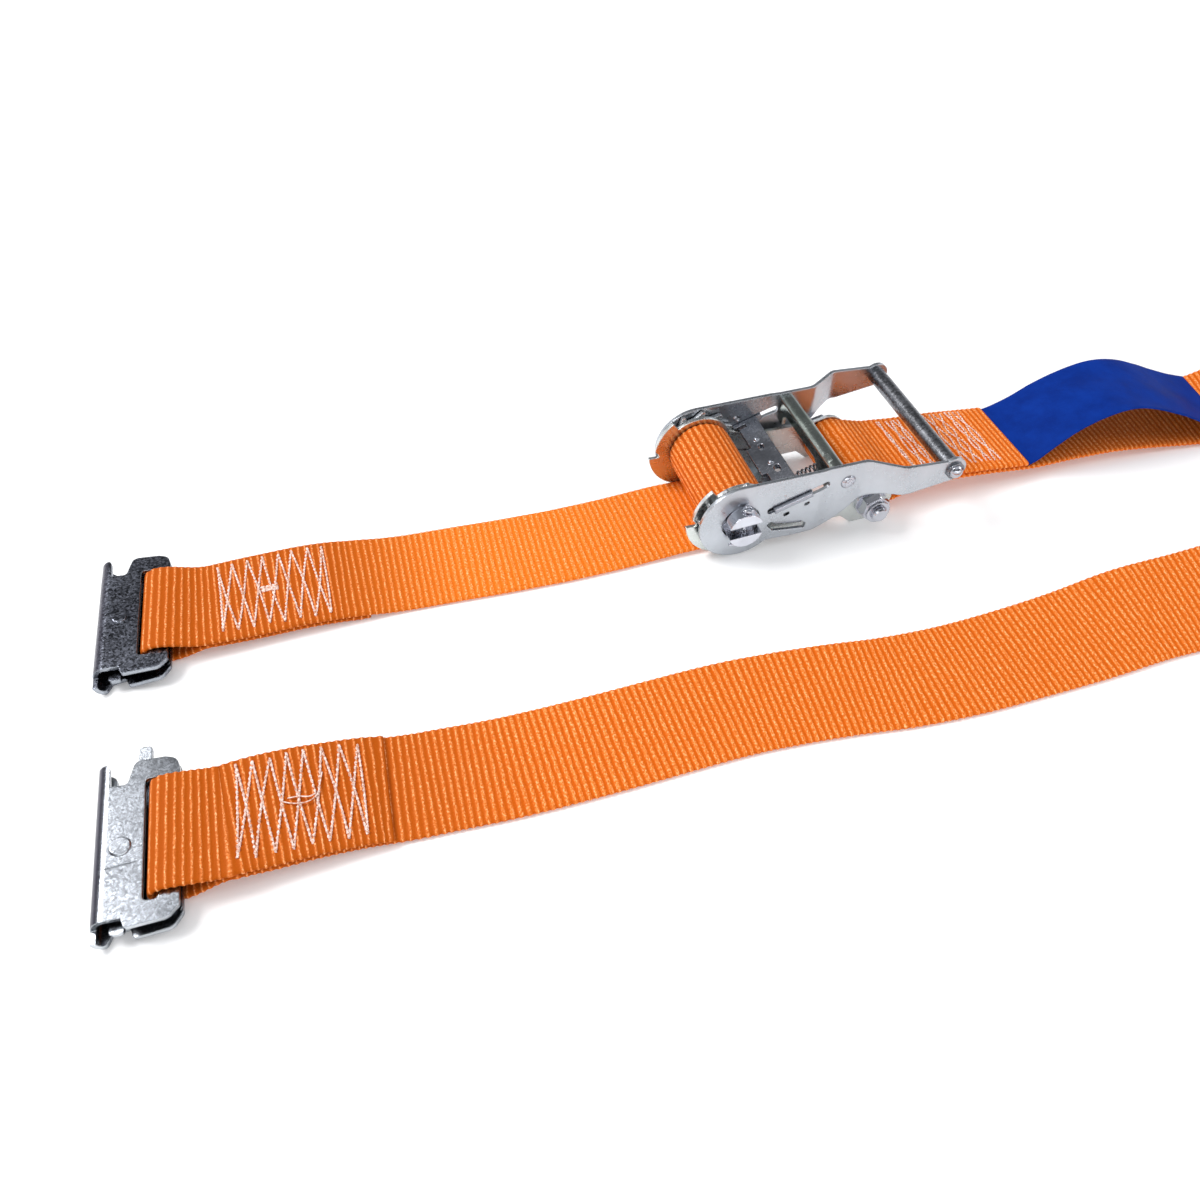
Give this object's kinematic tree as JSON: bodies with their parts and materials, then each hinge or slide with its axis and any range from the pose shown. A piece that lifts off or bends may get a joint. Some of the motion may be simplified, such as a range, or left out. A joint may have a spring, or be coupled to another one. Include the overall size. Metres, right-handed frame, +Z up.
{
  "type": "ratchet tie down",
  "caption": "Ratchet tie down: zinc-plated ratchet with folding handle on wide orange webbing, each strap end sewn to a flat folded E-track fitting with a spring latch.",
  "frame": {"origin": "middle of the whole object's box, on the surface it lies on", "axes": "+X from the end fittings towards the turn of the fixed strap, along the ratchet from mandrel to grip; +Y across the webbing towards the ratchet's far side; +Z up"},
  "size_m": [0.6948, 0.1938, 0.0491],
  "materials": {
    "frame_zinc": "bright zinc plate",
    "handle_zinc": "bright zinc plate",
    "bar_zinc": "zinc plate",
    "wheel_zinc": "zinc plate",
    "pawl_zinc": "darkened zinc plate",
    "grip_zinc": "dark rough zinc plate",
    "mandrel_zinc": "zinc plate",
    "fastener_zinc": "bright zinc plate",
    "spring_steel": "drawn wire",
    "fitting_dark_zinc": "dull speckled zinc plate",
    "fitting_bright_zinc": "speckled zinc plate",
    "webbing": "woven polyester, orange",
    "label_fabric": "coated cloth, blue, blank"
  },
  "bodies": {
    "frame": {"frame_plate_near": "frame_zinc", "frame_plate_far": "frame_zinc", "frame_bolt": "fastener_zinc", "frame_nut": "fastener_zinc", "frame_washer_near": "fastener_zinc", "frame_washer_far": "fastener_zinc", "strap_spacer": "fastener_zinc", "lock_spring_seat": "frame_zinc", "lock_pawl_spring": "spring_steel", "adjustable_strap": "webbing", "fixed_strap_ratchet_end": "webbing", "fixed_strap_upper": "webbing", "fixed_strap_turn": "webbing", "fixed_strap_lower": "webbing", "strap_label": "label_fabric"},
    "lock_pawl": {"lock_pawl": "fastener_zinc"},
    "mandrel": {"mandrel_half_upper": "mandrel_zinc", "mandrel_half_lower": "mandrel_zinc", "mandrel_split_pin_near": "fastener_zinc", "mandrel_split_pin_far": "fastener_zinc", "ratchet_wheel_near": "wheel_zinc", "ratchet_wheel_far": "wheel_zinc", "webbing_roll": "webbing"},
    "handle": {"handle_plate_near": "handle_zinc", "handle_plate_far": "handle_zinc", "handle_cross_bar": "bar_zinc", "cross_bar_rivet": "fastener_zinc", "handle_grip": "grip_zinc", "grip_rivet": "fastener_zinc", "grip_collar_near": "grip_zinc", "grip_collar_far": "grip_zinc", "drive_pawl_spring": "spring_steel"},
    "drive_pawl": {"drive_pawl": "pawl_zinc"},
    "fitting_1": {"fitting_1_shell": "fitting_dark_zinc", "fitting_1_rivet": "fitting_dark_zinc", "fitting_1_spring": "spring_steel", "fitting_1_strap_loop": "webbing"},
    "fitting_1_latch": {"fitting_1_latch": "fitting_dark_zinc"},
    "fitting_2": {"fitting_2_shell": "fitting_bright_zinc", "fitting_2_rivet": "fitting_bright_zinc", "fitting_2_spring": "spring_steel", "fitting_2_strap_loop": "webbing"},
    "fitting_2_latch": {"fitting_2_latch": "fitting_bright_zinc"}
  },
  "joints": [
    {"name": "handle_swing", "type": "hinge", "parent": "frame", "child": "handle", "pos_m": [-0.05455, 0.05418, 0.021], "axis": [0, -1, 0], "range_deg": [0, 170]},
    {"name": "mandrel_spin", "type": "hinge", "parent": "frame", "child": "mandrel", "pos_m": [-0.05455, 0.05418, 0.021], "axis": [0, -1, 0], "continuous": true},
    {"name": "drive_pawl_slide", "type": "slide", "parent": "handle", "child": "drive_pawl", "axis": [0.9537, 0, 0.3007], "range_m": [-0.002, 0.0065], "stiffness_N_per_m": 500, "deforming": ["drive_pawl_spring"]},
    {"name": "lock_pawl_slide", "type": "slide", "parent": "frame", "child": "lock_pawl", "axis": [0.9799, 0, -0.1994], "range_m": [0, 0.0045], "stiffness_N_per_m": 500, "springref_m": -0.001, "deforming": ["lock_pawl_spring"]},
    {"name": "fitting_1_lift", "type": "hinge", "parent": "frame", "child": "fitting_1", "pos_m": [-0.29684, 0.05929, 0.0084], "axis": [0.0698, 0.9976, 0], "range_deg": [0, 80]},
    {"name": "fitting_1_latch_swing", "type": "hinge", "parent": "fitting_1", "child": "fitting_1_latch", "pos_m": [-0.33364, 0.05926, 0.0107], "axis": [0.0597, -0.0042, 0.9982], "range_deg": [0, 8], "stiffness_Nm_per_rad": 0.05},
    {"name": "fitting_2_lift", "type": "hinge", "parent": "frame", "child": "fitting_2", "pos_m": [-0.29784, -0.05929, 0.01222], "axis": [0.0662, 0.9971, 0.0384], "range_deg": [0, 80]},
    {"name": "fitting_2_latch_swing", "type": "hinge", "parent": "fitting_2", "child": "fitting_2_latch", "pos_m": [-0.33465, -0.05964, 0.01201], "axis": [0.0572, -0.0422, 0.9975], "range_deg": [0, 8], "stiffness_Nm_per_rad": 0.05}
  ]
}
